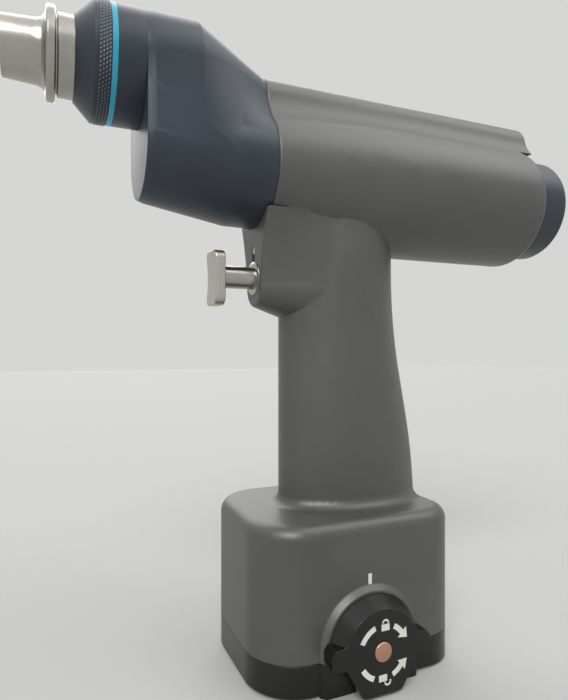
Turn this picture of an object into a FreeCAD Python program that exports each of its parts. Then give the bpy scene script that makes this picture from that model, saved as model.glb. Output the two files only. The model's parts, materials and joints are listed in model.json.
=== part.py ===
import FreeCAD, Part
import math
import os

V = FreeCAD.Vector

# Frame: millimetres, +Z up, nose towards -X, lock knob towards -Y.
# The origin is the middle of the flat underside of the base lid.

# Fits and walls
fit_gap = 0.04          # between pieces that are pressed or glued together
run_gap = 0.08          # radial gap of a running or sliding fit
free_gap = 0.3          # between pieces that pass each other
wall = 2.2              # general wall of the castings

# Heights of the main axes
drive_z = 200.4
gear_module = 1.0
pinion_teeth = 26
spindle_teeth = 29
motor_z = drive_z - gear_module * (pinion_teeth + spindle_teeth) / 2.0

# Gear teeth
pressure_angle = math.radians(25.0)
tooth_backlash = 0.12
flank_facets = 3
coil_steps = 20
planet_module = 0.75
sun_teeth = 12
planet_teeth = 15
ring_teeth = sun_teeth + 2 * planet_teeth
planet_count = 3
gear_width = 8.0
planet_width = 7.0
carrier_room_r = 14.6

# Stations along X, from the nose to the rear cap
nose_x = -110.0
sleeve_front_x = -100.3
flange_x = -97.8
flange_width = 2.7
collar_length = 8.6
cone_front_x = -89.9
cone_back_x = -84.6
ring_front_x = -79.9
ring_back_x = -78.3
housing_front_x = -69.8
housing_edge_x = -67.6
roof_x = -53.0
waist_x = -40.0
seam_x = -28.0
seam_edge_r = 0.8
lobe_full_x = 30.0
lobe_end_x = 86.5
ridge_end_x = 90.0
cap_end_x = 100.7

# Nose and coupling
barrel_r = 18.0
sleeve_tip_r = 8.8
sleeve_root_r = 9.4
flange_r = 13.8
collar_r = 12.1
pilot_r = 6.6
pilot_depth = 6.0
shank_r = 5.75
nose_tube_r = 7.5
ball_r = 1.5
ball_count = 3
sleeve_travel = 4.5
hub_r = 15.6
spindle_r = 5.0

# Gear housing
housing_r = 18.3
lobe_front_r = 18.0
lobe_front_z = 176.1
lobe_waist_r = 19.4
lobe_waist_z = 172.5
chamfer_depth = 0.8
crease_front_z = 190.7
crease_waist_z = 171.6

# Main barrel, as a lower lobe with a narrow ridge above
ridge_r = 8.5
ridge_z = 197.1
valley_r = 20.0
valley_rear_r = 14.0
lobe_seam_r = 19.9
lobe_seam_z = 172.5
lobe_rear_r = 24.3
lobe_rear_z = 170.4
lobe_edge_r = 3.0
ridge_step_z = 191.8

# Motor
motor_bore_r = 18.0
motor_can_r = motor_bore_r - fit_gap
can_wall = 1.0
stator_r_in = 9.6
rotor_r = 9.2
shaft_r = 2.5
motor_front_x = -12.0
motor_back_x = 70.0
stator_slots = 9
winding_r = 15.8
winding_r_in = 10.6
winding_reach = 4.0      # end turns past the stator core
journal_r = 3.0
small_bearing_r = 6.5    # bearings of the motor and the pinion
carrier_hub_r = 5.0
carrier_bearing_r = 11.0
rear_bearing_r = 8.0     # rear bearing of the spindle
barrel_spigot_r = 14.0
seal_depth = 1.1

# Rear cap
cap_r = 20.7
cap_z = 171.0
cap_plug_r = 19.0
cap_plug_x = 78.0
cap_edge = 1.6
cap_wall = 2.0

# Neck, trigger and handle
trigger_z = 135.0
neck_face_x = -30.0
neck_back_x = -3.4
neck_top_half = 14.6
neck_drop = 9.3
neck_edge_r = 1.4
rod_r = 3.9
bezel_r = 5.9
bezel_lip = 0.6
pad_back_x = -41.9
pad_thickness = 3.2
pad_low_z = 124.9
pad_high_z = 143.8
pad_half_width = 5.8
trigger_travel = 7.0
slot_width = 2.4
slot_top_z = 146.3
neck_mid_half = 9.2
neck_low_half = 7.2
neck_low_z = 125.0
handle_front_x = -19.4
handle_rear_x = 25.5
handle_sweep = 10.3
handle_half_width = 17.0
handle_end_r = 12.0
handle_wall = 3.0
grip_straight_z = 132.0
grip_steps = 6
grip_top_z = 156.0
foot_fillet_r = 4.0

# Trigger inside the grip
bushing_r = 5.2
bushing_end_x = -16.0
bezel_depth = 1.6
pin_head_r = 1.4
magnet_r = 2.0
sensor_x = -1.0
carrier_depth = 9.0
carrier_half_y = 13.3
carrier_half_z = 9.0
sensor_half = 1.8
board_half_y = 11.0
rod_flange_r = 5.0
cavity_top_z = 149.0
wire_hole_r = 5.0
wire_hole_x = 14.0

# Battery housing, lid and lock knob
bay_wall = 2.5
bay_top_z = 50.5
case_top_z = 45.2
case_wall = 1.3
cell_r = 7.0
cell_length = 50.0
contact_half_x = 22.0
contact_half_y = 20.0
board_thickness = 1.2
knob_shaft_r = 3.0
knob_flange_r = 5.4
cam_depth = 0.8
knob_clearance = 0.3
knuckle_half = 5.0
box_half_x = 37.5
box_half_y = 29.2
box_front_r = 17.5
box_rear_r = 13.0
box_top_z = 54.0
box_edge_r = 4.6
seam_z = 10.8
seam_gap = 0.15
lid_floor = 3.0
lid_edge = 0.8
boss_r = 18.5
boss_face_r = 16.7
boss_height = 1.9
knob_z = 14.4
knob_front_y = -box_half_y - 7.8
knob_r = 13.4
knob_skirt_r = 16.2
knob_wing_r = 18.2
knob_wing_high = 4.1
knob_wing_low = -3.2
knob_tail_half = 6.6
knob_web = 2.15           # reach of the hollow corner between round top and wing
hinge_y = box_half_y + 2.2
hinge_r = 2.1
hinge_pin_r = 1.0
hinge_length = 30.0


def rod(radius, x0, x1, z, y=0.0):
    """A round bar along X."""
    return Part.makeCylinder(radius, x1 - x0, V(x0, y, z), V(1, 0, 0))


def tube(r_out, r_in, x0, x1, z, y=0.0):
    """A round tube along X."""
    return rod(r_out, x0, x1, z, y).cut(rod(r_in, x0 - 1, x1 + 1, z, y))


def turned(profile, z):
    """A body of revolution about the line at height z, from (x, radius) points."""
    points = [V(x, 0, z + radius) for x, radius in profile]
    face = Part.Face(Part.makePolygon(points + points[:1]))
    return face.revolve(V(0, 0, z), V(1, 0, 0), 360)


def upright(radius, x, y, z0, z1):
    """A round bar along Z."""
    return Part.makeCylinder(radius, z1 - z0, V(x, y, z0))


def across(radius, x, z, y0, y1):
    """A round bar along Y."""
    return Part.makeCylinder(radius, y1 - y0, V(x, y0, z), V(0, 1, 0))


def block(x0, x1, y0, y1, z0, z1):
    """A box between two corners."""
    return Part.makeBox(x1 - x0, y1 - y0, z1 - z0, V(x0, y0, z0))


def save(name, *solids):
    """Writes one sub-part, whose solids may be several."""
    shape = solids[0] if len(solids) == 1 else Part.makeCompound(list(solids))
    shape.exportStep("parts/" + name + ".step")
    print(name, len(shape.Solids), round(shape.Volume, 1), shape.isValid())


# Gears

def involute_angle(base_r, radius):
    """Polar angle that an involute has turned through at a radius."""
    angle = math.acos(min(1.0, base_r / radius))
    return math.tan(angle) - angle


def tooth_outline(module, teeth, r_low, r_high, thinning, start, centre_z):
    """Closed outline in the YZ plane of teeth whose first one points along start."""
    pitch_r = module * teeth / 2.0
    base_r = pitch_r * math.cos(pressure_angle)
    half = math.pi / (2 * teeth) - thinning / (2 * pitch_r)
    half += involute_angle(base_r, pitch_r)
    flank_low = max(base_r, r_low)
    radii = [flank_low + (r_high - flank_low) * i / flank_facets for i in range(flank_facets + 1)]
    side = [(r_low, half - involute_angle(base_r, flank_low))] if r_low < base_r else []
    side += [(r, half - involute_angle(base_r, r)) for r in radii]
    points = []
    for tooth in range(teeth):
        middle = start + 2 * math.pi * tooth / teeth
        flank = [(r, middle - a) for r, a in side] + [(r, middle + a) for r, a in reversed(side)]
        points += [V(0, r * math.cos(a), centre_z + r * math.sin(a)) for r, a in flank]
    return points


def toothed_disc(module, teeth, r_low, r_high, thinning, start, centre_z, x0, width):
    points = tooth_outline(module, teeth, r_low, r_high, thinning, start, centre_z)
    face = Part.Face(Part.makePolygon(points + points[:1]))
    face.translate(V(x0, 0, 0))
    return face.extrude(V(width, 0, 0))


def spur_gear(module, teeth, start, centre_z, x0, width, bore_r):
    """An outside gear with true involute flanks."""
    pitch_r = module * teeth / 2.0
    disc = toothed_disc(module, teeth, pitch_r - 1.25 * module, pitch_r + module,
                        tooth_backlash / 2.0, start, centre_z, x0, width)
    return disc.cut(rod(bore_r, x0 - 1, x0 + width + 1, centre_z))


up = math.pi / 2.0
planet_pitch_r = planet_module * planet_teeth / 2.0
planet_orbit_r = planet_module * (sun_teeth + planet_teeth) / 2.0
ring_pitch_r = planet_module * ring_teeth / 2.0
ring_outer_r = motor_bore_r - fit_gap
planet_x = motor_front_x - 3.6 - planet_width
carrier_x = planet_x - 0.4 - 4.0
gear_x = roof_x - 1.0 - gear_width
spigot_end_x = carrier_x + 2.6


def planet_place(index):
    """Angle about the motor axis, and centre, of one planet."""
    angle = up + 2 * math.pi * index / planet_count
    return angle, V(0, planet_orbit_r * math.cos(angle), motor_z + planet_orbit_r * math.sin(angle))


def make_gears():
    """Transfer pair and planet stage, all in mesh at rest."""
    save("pinion", spur_gear(gear_module, pinion_teeth, up, motor_z, gear_x, gear_width, 4.0 + fit_gap))
    gap_down = -up + math.pi / spindle_teeth
    save("spindle_gear", spur_gear(gear_module, spindle_teeth, gap_down, drive_z,
                                   gear_x, gear_width, 6.0 + fit_gap))
    sun = spur_gear(planet_module, sun_teeth, up, motor_z, planet_x - 0.2, planet_width + 1.0,
                    2.0 + fit_gap)
    save("sun_gear", sun)
    for index in range(planet_count):
        angle, centre = planet_place(index)
        gap_inward = angle + math.pi + math.pi / planet_teeth
        planet = spur_gear(planet_module, planet_teeth, gap_inward, 0, planet_x, planet_width,
                           2.0 + run_gap)
        planet.translate(centre)
        save("planet_gear_%d" % (index + 1), planet)
    ring_end_x = motor_front_x - 0.05
    ring = rod(ring_outer_r, spigot_end_x + 0.05, ring_end_x, motor_z)
    void = toothed_disc(planet_module, ring_teeth, ring_pitch_r - planet_module,
                        ring_pitch_r + 1.25 * planet_module, -tooth_backlash / 2.0,
                        up, motor_z, planet_x - 0.6, planet_width + 1.2)
    ring = ring.cut(void)
    ring = ring.cut(rod(ring_pitch_r - planet_module, seam_x, ring_end_x + 1, motor_z))
    clear_r = ring_pitch_r + 1.3 * planet_module
    ring = ring.cut(rod(clear_r, seam_x, planet_x - 0.5, motor_z))
    ring = ring.cut(rod(clear_r, planet_x + planet_width + 0.5, ring_end_x + 1, motor_z))
    save("ring_gear", ring)


def make_carrier():
    """Planet carrier with its pins, and the shaft that drives the pinion."""
    shaft_front_x = housing_edge_x + 1.4
    shoulder_x = gear_x + gear_width
    profile = [(shaft_front_x, 0), (shaft_front_x, 3.0), (gear_x - 0.4, 3.0), (gear_x - 0.4, 4.0),
               (shoulder_x, 4.0), (shoulder_x, 5.0), (carrier_x, 5.0), (carrier_x, 14.0),
               (carrier_x + 4.0, 14.0), (carrier_x + 4.0, 0)]
    carrier = turned(profile, motor_z)
    pins = []
    for index in range(planet_count):
        centre = planet_place(index)[1]
        carrier = carrier.cut(rod(2.0, carrier_x - 1, carrier_x + 5, centre.z, centre.y))
        pins.append(rod(2.0, carrier_x + 0.5, planet_x + planet_width + 0.4, centre.z, centre.y))
    save("planet_carrier", carrier)
    save("planet_pins", *pins)


def bearing(r_in, r_out, x0, x1, z):
    """A shielded ball bearing: the shields sit back between the two races."""
    land = (r_out - r_in) * 0.22
    inset = 0.4
    profile = [(x0, r_in), (x1, r_in), (x1, r_in + land), (x1 - inset, r_in + land),
               (x1 - inset, r_out - land), (x1, r_out - land), (x1, r_out), (x0, r_out),
               (x0, r_out - land), (x0 + inset, r_out - land), (x0 + inset, r_in + land),
               (x0, r_in + land)]
    return turned(profile, z)


front_bearing_x = ring_front_x + 0.4
front_bearing_w = 6.0
rear_bearing_x = roof_x - 0.4
rear_bearing_w = 5.0
nose_flange_x = front_bearing_x - 1.5
bearing_bore_r = hub_r - 2.55


def make_spindle():
    """Hollow-nosed spindle with a hex drive socket, and its bearings."""
    front_x = nose_x + 20.0
    seat_x = front_bearing_x
    seat_end = seat_x + front_bearing_w
    back_x = rear_bearing_x + rear_bearing_w + 0.6
    profile = [(front_x, 0), (front_x, spindle_r), (seat_x - 0.4, spindle_r), (seat_x - 0.4, 6.0),
               (seat_end, 6.0), (seat_end, 7.5), (gear_x - 0.5, 7.5), (gear_x - 0.5, 6.0),
               (gear_x + gear_width, 6.0), (gear_x + gear_width, 4.5), (back_x, 4.5), (back_x, 0)]
    spindle = turned(profile, drive_z)
    socket_r = 3.4
    sixths = [k * math.pi / 3 for k in range(6)]
    corners = [V(front_x - 1, socket_r * math.cos(a), drive_z + socket_r * math.sin(a)) for a in sixths]
    socket = Part.Face(Part.makePolygon(corners + corners[:1])).extrude(V(9.0, 0, 0))
    save("spindle", spindle.cut(socket))
    save("spindle_front_bearing", bearing(6.0 + run_gap, bearing_bore_r - fit_gap, seat_x, seat_end, drive_z))
    save("spindle_rear_bearing", bearing(4.5 + run_gap, rear_bearing_r, rear_bearing_x,
                                         rear_bearing_x + rear_bearing_w, drive_z))
    save("pinion_bearing", bearing(journal_r + run_gap, small_bearing_r,
                                   housing_edge_x + 0.8, gear_x - 0.8, motor_z))
    save("carrier_bearing", bearing(carrier_hub_r + run_gap, carrier_bearing_r,
                                    waist_x - 6.0, waist_x, motor_z))


def make_nose():
    """Quick coupling: fixed nose tube with balls, sliding sleeve, collar and spring."""
    tube_front = nose_x + 0.3
    ball_x = -93.0
    profile = [(tube_front, pilot_r), (tube_front, nose_tube_r), (nose_flange_x, nose_tube_r),
               (nose_flange_x, bearing_bore_r - fit_gap), (front_bearing_x, bearing_bore_r - fit_gap),
               (front_bearing_x, 9.0), (nose_flange_x + 0.7, 9.0), (nose_flange_x + 0.7, shank_r),
               (tube_front + pilot_depth, shank_r), (tube_front + pilot_depth, pilot_r)]
    nose_tube = turned(profile, drive_z)
    land_r = nose_tube_r + run_gap
    orbit = land_r - ball_r - 0.02
    balls = []
    for k in range(ball_count):
        angle = up + 2 * math.pi * k / ball_count
        direction = V(0, math.cos(angle), math.sin(angle))
        centre = V(ball_x, 0, drive_z)
        nose_tube = nose_tube.cut(Part.makeCylinder(ball_r + run_gap, 10.0, centre, direction))
        balls.append(Part.makeSphere(ball_r, centre + direction * orbit))
    save("nose_tube", nose_tube)
    save("coupling_balls", *balls)

    skirt_r = nose_tube_r + 0.95
    skirt_back = ball_x + 2.6
    relief_r = nose_tube_r + 1.6
    relief_x = ball_x - sleeve_travel - 1.3
    relief_end = ball_x - sleeve_travel + 1.9
    flange_back = flange_x + flange_width
    groove_r = collar_r - 0.9
    profile = [(nose_x, land_r), (nose_x, sleeve_tip_r - 0.2), (nose_x + 0.2, sleeve_tip_r),
               (sleeve_front_x, sleeve_root_r), (sleeve_front_x + 1.3, sleeve_root_r + 0.5),
               (sleeve_front_x + 2.2, sleeve_root_r + 1.7), (flange_x, sleeve_root_r + 3.2),
               (flange_x, flange_r - 0.5), (flange_x + 0.5, flange_r), (flange_back - 0.4, flange_r),
               (flange_back, flange_r - 0.4), (flange_back, groove_r),
               (flange_back + 0.5, groove_r), (flange_back + 0.5, skirt_r), (skirt_back, skirt_r),
               (skirt_back, land_r), (relief_end, land_r), (relief_end, relief_r),
               (relief_x, relief_r), (relief_x, land_r)]
    save("coupling_sleeve", turned(profile, drive_z))

    collar_x = flange_back + 0.5
    bore_r = collar_r - 1.4
    profile = [(collar_x, skirt_r + fit_gap), (collar_x, collar_r - 0.25), (collar_x + 0.25, collar_r),
               (collar_x + collar_length, collar_r), (collar_x + collar_length, bore_r),
               (collar_x + 1.0, bore_r), (collar_x + 1.0, skirt_r + fit_gap)]
    save("sleeve_collar", turned(profile, drive_z))

    coil_r = (skirt_r + bore_r) / 2.0 + 0.05
    wire_r = 0.5
    low_x = collar_x + 1.0 + wire_r + 0.05
    high_x = nose_flange_x - wire_r - 0.05
    save("sleeve_spring", coil(coil_r, wire_r, low_x, high_x, drive_z, 4))


def coil(radius, wire_r, x0, x1, z, turns):
    """A helical compression spring along X, from six-sided sections."""
    steps = turns * coil_steps
    sections = []
    for i in range(steps + 1):
        angle = 2 * math.pi * i / coil_steps
        x = x0 + (x1 - x0) * i / steps
        corners = []
        for k in range(6):
            reach = radius + wire_r * math.sin(k * math.pi / 3)
            corners.append(V(x + wire_r * math.cos(k * math.pi / 3),
                             reach * math.cos(angle), z + reach * math.sin(angle)))
        sections.append(Part.makePolygon(corners + corners[:1]))
    return Part.makeLoft(sections, True, True)


def make_barrel_front():
    """Fixed barrel with the hub that the locking collar turns on."""
    bore_r = bearing_bore_r
    seat_end = front_bearing_x + front_bearing_w
    back_x = housing_front_x
    profile = [(cone_back_x, bore_r), (cone_back_x, hub_r), (ring_back_x, hub_r), (ring_back_x, barrel_r),
               (back_x, barrel_r), (back_x, barrel_spigot_r), (back_x + 2.0, barrel_spigot_r),
               (back_x + 2.0, 9.5), (seat_end, 9.5), (seat_end, bore_r)]
    save("drive_barrel", turned(profile, drive_z))
    save("colour_ring", tube(barrel_r, hub_r + fit_gap, ring_front_x, ring_back_x, drive_z))
    mouth_r = collar_r + run_gap
    profile = [(cone_front_x, mouth_r), (cone_front_x, mouth_r + 0.5), (cone_front_x + 0.3, mouth_r + 0.8),
               (cone_back_x, barrel_r), (ring_front_x - 0.1, barrel_r), (ring_front_x - 0.1, hub_r + run_gap),
               (cone_back_x - 0.3, hub_r + run_gap), (cone_back_x - 0.3, mouth_r)]
    save("lock_collar", turned(profile, drive_z))


# Gear housing

def tangent_angle(radius, centre_z, y, z):
    """Angle on a circle where the line from a point outside touches its +Y side."""
    dy = y
    dz = z - centre_z
    distance = math.hypot(dy, dz)
    return math.atan2(dz, dy) + math.acos(radius / distance)


def arc_points(radius, centre_z, a0, a1, count, y0=0.0):
    step = (a1 - a0) / (count - 1)
    return [(y0 + radius * math.cos(a0 + step * i), centre_z + radius * math.sin(a0 + step * i))
            for i in range(count)]


def valley_joint(lobe_r, lobe_z, top_r, top_z, fillet_r):
    """Centre of the concave fillet between two circles one above the other."""
    apart = top_z - lobe_z
    low = lobe_r + fillet_r
    high = top_r + fillet_r
    rise = (low * low - high * high + apart * apart) / (2 * apart)
    return math.sqrt(low * low - rise * rise), rise


def crown_wire(x, top_r, top_z, crease_y, crease_z, side):
    """Section of the housing's upper part: arc on top, a side line down to each crease."""
    first = side[-1]
    arc = Part.Arc(V(x, first[0], first[1]), V(x, 0, top_z + top_r), V(x, -first[0], first[1])).toShape()
    right = Part.BSplineCurve()
    right.interpolate([V(x, y, z) for y, z in side])
    left = Part.BSplineCurve()
    left.interpolate([V(x, -y, z) for y, z in reversed(side)])
    bottom = Part.makeLine(V(x, -crease_y, crease_z), V(x, crease_y, crease_z))
    return Part.Wire([right.toShape(), arc, left.toShape(), bottom])


def straight_side(top_r, top_z, crease_y, crease_z):
    angle = tangent_angle(top_r, top_z, crease_y, crease_z)
    end_y = top_r * math.cos(angle)
    end_z = top_z + top_r * math.sin(angle)
    share = [i / 6.0 for i in range(7)]
    return [(crease_y + (end_y - crease_y) * s, crease_z + (end_z - crease_z) * s) for s in share]


def pear_side(lobe_r, lobe_z, top_r, top_z, fillet_r):
    """Side of the pear section, from the lobe's widest line up to the ridge."""
    out, rise = valley_joint(lobe_r, lobe_z, top_r, top_z, fillet_r)
    low_angle = math.atan2(rise, out)
    high_angle = math.atan2(rise - (top_z - lobe_z), out)
    lower = arc_points(lobe_r, lobe_z, 0.0, low_angle, 4)
    upper = arc_points(fillet_r, lobe_z + rise, math.pi + low_angle, math.pi + high_angle, 4, out)
    return lower + upper[1:]


def blend(a, b, share):
    return a + (b - a) * share


def housing_stations():
    """Named sizes of the housing at each station along X."""
    roof_share = (roof_x - housing_edge_x) / (waist_x - housing_edge_x)
    top_share = (waist_x - roof_x) / (seam_x - roof_x)
    lobe_r = [lobe_front_r - chamfer_depth, lobe_front_r, blend(lobe_front_r, lobe_waist_r, roof_share),
              lobe_waist_r, lobe_seam_r - free_gap]
    lobe_z = [lobe_front_z, lobe_front_z, blend(lobe_front_z, lobe_waist_z, roof_share),
              lobe_waist_z, lobe_seam_z]
    top_r = [housing_r - free_gap, housing_r, housing_r, blend(housing_r, ridge_r - 0.2, top_share),
             ridge_r - 0.2]
    top_z = [drive_z, drive_z, drive_z, blend(drive_z, ridge_z, top_share), ridge_z]
    crease_z = [crease_front_z, crease_front_z, blend(crease_front_z, crease_waist_z, roof_share),
                crease_waist_z, lobe_seam_z]
    xs = [housing_front_x, housing_edge_x, roof_x, waist_x, seam_x]
    return list(zip(xs, lobe_r, lobe_z, top_r, top_z, crease_z))


def housing_outside():
    stations = housing_stations()
    lobe = Part.makeLoft([Part.Wire([Part.makeCircle(r, V(x, 0, z), V(1, 0, 0))])
                          for x, r, z, _, _, _ in stations], True, True)
    crown_wires = []
    for x, r, z, top_r, top_z, crease_z in stations[:-1]:
        crown_wires.append(crown_wire(x, top_r, top_z, r, crease_z,
                                      straight_side(top_r, top_z, r, crease_z)))
    x, r, z, top_r, top_z, crease_z = stations[-1]
    crown_wires.append(crown_wire(x, top_r, top_z, r, crease_z,
                                  pear_side(r, z, top_r, top_z, valley_r)))
    crown = Part.makeLoft(crown_wires, True, True)
    cheeks = []
    for x, r, z, _, _, crease_z in stations[:-1]:
        low = min(z, crease_z - 0.2)
        corners = [V(x, -r, low), V(x, r, low), V(x, r, crease_z), V(x, -r, crease_z)]
        cheeks.append(Part.makePolygon(corners + corners[:1]))
    cheek = Part.makeLoft(cheeks, True, True)
    return lobe.fuse(cheek).fuse(crown).removeSplitter()


def make_gear_housing():
    shell = housing_outside()
    pocket_x = gear_x - 0.5
    pocket_end = gear_x + gear_width + 0.3
    spindle_tip_r = gear_module * (spindle_teeth / 2.0 + 1.0)
    pinion_tip_r = gear_module * (pinion_teeth / 2.0 + 1.0)
    shell = shell.cut(rod(spindle_tip_r + free_gap, pocket_x, pocket_end, drive_z))
    shell = shell.cut(rod(pinion_tip_r + free_gap, pocket_x, pocket_end, motor_z))
    shell = shell.cut(rod(barrel_spigot_r + fit_gap, housing_front_x - 1, housing_front_x + 2.0, drive_z))
    shell = shell.cut(rod(9.5, housing_front_x, pocket_x + 1, drive_z))
    shell = shell.cut(rod(rear_bearing_r + fit_gap, pocket_end - 1, rear_bearing_x + rear_bearing_w, drive_z))
    shell = shell.cut(rod(5.5, pocket_end - 1, rear_bearing_x + rear_bearing_w + 1.2, drive_z))
    shell = shell.cut(rod(small_bearing_r + fit_gap, housing_edge_x + 0.8, pocket_x + 1, motor_z))
    shell = shell.fuse(rod(motor_bore_r - fit_gap, seam_x - 1, spigot_end_x, motor_z))
    shell = shell.cut(rod(6.0, pocket_end - 1, spigot_end_x + 1, motor_z))
    shell = shell.cut(rod(carrier_bearing_r + fit_gap, waist_x - 6.0, spigot_end_x + 1, motor_z))
    shell = shell.cut(rod(carrier_room_r, carrier_x - 0.8, spigot_end_x + 1, motor_z))
    groove = tube(motor_bore_r + 1, motor_bore_r - seal_depth, seam_x + 0.8, seam_x + 2.2, motor_z)
    save("gear_housing", shell.cut(groove))
    save("seam_seal", tube(motor_bore_r - fit_gap, motor_bore_r - seal_depth + fit_gap, seam_x + 0.85,
                           seam_x + 2.15, motor_z))
    save("bearing_retainer", tube(carrier_bearing_r - fit_gap, 8.0, waist_x + 0.05, carrier_x - 0.8, motor_z))


# Main body

def pear_wire(x, lobe_r, lobe_z, fillet_r):
    out, rise = valley_joint(lobe_r, lobe_z, ridge_r, ridge_z, fillet_r)
    low_angle = math.atan2(rise, out)
    high_angle = math.atan2(rise - (ridge_z - lobe_z), out)
    mid_angle = math.pi + (low_angle + high_angle) / 2.0
    low = V(x, lobe_r * math.cos(low_angle), lobe_z + lobe_r * math.sin(low_angle))
    high = V(x, ridge_r * math.cos(high_angle), ridge_z + ridge_r * math.sin(high_angle))
    mid = V(x, out + fillet_r * math.cos(mid_angle), lobe_z + rise + fillet_r * math.sin(mid_angle))

    def mirrored(point):
        return V(point.x, -point.y, point.z)

    lobe = Part.Arc(mirrored(low), V(x, 0, lobe_z - lobe_r), low).toShape()
    right = Part.Arc(low, mid, high).toShape()
    top = Part.Arc(high, V(x, 0, ridge_z + ridge_r), mirrored(high)).toShape()
    left = Part.Arc(mirrored(high), mirrored(mid), mirrored(low)).toShape()
    return Part.Wire([lobe, right, top, left])


def main_barrel():
    sections = []
    for share in (0.0, 1.0 / 3.0, 2.0 / 3.0, 1.0):
        ease = math.sin(up * share)
        sections.append(pear_wire(blend(seam_x, lobe_full_x, share), blend(lobe_seam_r, lobe_rear_r, ease),
                                  blend(lobe_seam_z, lobe_rear_z, ease),
                                  blend(valley_r, valley_rear_r, ease)))
    front = Part.makeLoft(sections, True, False)
    rim = [e for e in front.Edges if e.BoundBox.XMax < seam_x + 0.01]
    front = front.makeFillet(seam_edge_r, rim)
    rear_wire = pear_wire(lobe_full_x, lobe_rear_r, lobe_rear_z, valley_rear_r)
    rear = Part.Face(rear_wire).extrude(V(ridge_end_x - lobe_full_x, 0, 0))
    rear = rear.cut(block(lobe_end_x, ridge_end_x + 1, -40, 40, 100, ridge_step_z))
    edge_x = lobe_end_x - lobe_edge_r
    arc = [(edge_x + lobe_edge_r * math.sin(up * k / 6.0),
            lobe_rear_r - lobe_edge_r + lobe_edge_r * math.cos(up * k / 6.0)) for k in range(7)]
    corner = turned([(edge_x, lobe_rear_r + 1)] + arc + [(lobe_end_x + 1, lobe_rear_r - lobe_edge_r),
                                                         (lobe_end_x + 1, lobe_rear_r + 1)], lobe_rear_z)
    corner = corner.cut(block(edge_x - 1, lobe_end_x + 2, -40, 40, ridge_step_z, 240))
    return front.fuse(rear.cut(corner))


def oval_wire(z, front_x, rear_x, half_width, end_r):
    """Oval of four tangent arcs, seen from above."""
    half = (rear_x - front_x) / 2.0
    middle = (rear_x + front_x) / 2.0
    reach = half - end_r
    side_r = (reach * reach + half_width * half_width - end_r * end_r) / (2 * (half_width - end_r))
    turn = math.atan2(reach, side_r - half_width)
    join_x = side_r * math.sin(turn)
    join_y = half_width - side_r + side_r * math.cos(turn)
    points = [V(middle - join_x, -join_y, z), V(middle, -half_width, z), V(middle + join_x, -join_y, z),
              V(rear_x, 0, z), V(middle + join_x, join_y, z), V(middle, half_width, z),
              V(middle - join_x, join_y, z), V(front_x, 0, z)]
    edges = [Part.Arc(points[i], points[i + 1], points[(i + 2) % 8]).toShape() for i in (0, 2, 4, 6)]
    return Part.Wire(edges)


def handle_rear(z):
    """Rear of the grip: upright under the barrel, swept back towards the battery housing."""
    share = min(1.0, max(0.0, (grip_straight_z - z) / (grip_straight_z - box_top_z)))
    ease = share - 0.5 * math.sin(2 * math.pi * share) / (2 * math.pi)
    return handle_rear_x + handle_sweep * ease


def grip(inset, z_low, z_high):
    levels = [z_low + (z_high - z_low) * i / grip_steps for i in range(grip_steps + 1)]
    wires = [oval_wire(z, handle_front_x + inset, handle_rear(z) - inset, handle_half_width - inset,
                       handle_end_r - inset) for z in levels]
    return Part.makeLoft(wires, True, False)


def neck_wire(x, top_half, mid_half, low_half, low_z):
    """Front-view outline of the trigger neck: wide under the barrel, round below."""
    top_z = lobe_seam_z - lobe_seam_r + 5.0
    shoulder = trigger_z + 8.0
    points = [V(x, top_half, top_z), V(x, mid_half, shoulder), V(x, low_half, trigger_z - 2.0)]
    right = Part.BSplineCurve()
    right.interpolate(points)
    left = Part.BSplineCurve()
    left.interpolate([V(x, -p.y, p.z) for p in reversed(points)])
    under = Part.Arc(points[2], V(x, 0, low_z), V(x, -low_half, trigger_z - 2.0)).toShape()
    top = Part.makeLine(V(x, -top_half, top_z), V(x, top_half, top_z))
    return Part.Wire([right.toShape(), under, left.toShape(), top])


def neck():
    """Neck from its flat face back into the grip, cut out below the gear housing."""
    front = neck_wire(neck_face_x, neck_top_half, neck_mid_half, neck_low_half, neck_low_z)
    flare = handle_half_width - 1.1
    back = neck_wire(neck_back_x, flare, flare, flare, neck_low_z - neck_drop)
    solid = Part.makeLoft([front, back], True, True)
    front_edges = [e for e in solid.Edges if e.BoundBox.XMax < neck_face_x + 0.1]
    rim = [e for e in front_edges if e.BoundBox.ZMin < trigger_z + 9.0]
    solid = solid.makeFillet(neck_edge_r, rim)
    return solid.cut(rod(lobe_seam_r - free_gap + 0.1, neck_face_x - 1, seam_x, lobe_seam_z))


def grip_on_box():
    """Grip rising from the battery housing with a hollow fillet round its foot."""
    box = box_prism(seam_z + seam_gap, box_top_z, 0.0)
    rims = [e for e in box.Edges if e.BoundBox.ZMin > box_top_z - 0.01]
    box = box.makeFillet(box_edge_r, rims)
    solid = grip(0.0, box_top_z - 2.0, grip_top_z).fuse(box).removeSplitter()
    foot = [e for e in solid.Edges if is_foot_edge(e.BoundBox)]
    return solid.makeFillet(foot_fillet_r, foot)


def is_foot_edge(box):
    inside = box.YMax < handle_half_width + 2.0 and box.YMin > -handle_half_width - 2.0
    return inside and box.ZMax < box_top_z + 0.05 and box.ZMin > box_top_z - 2.0 + 0.05


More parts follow.
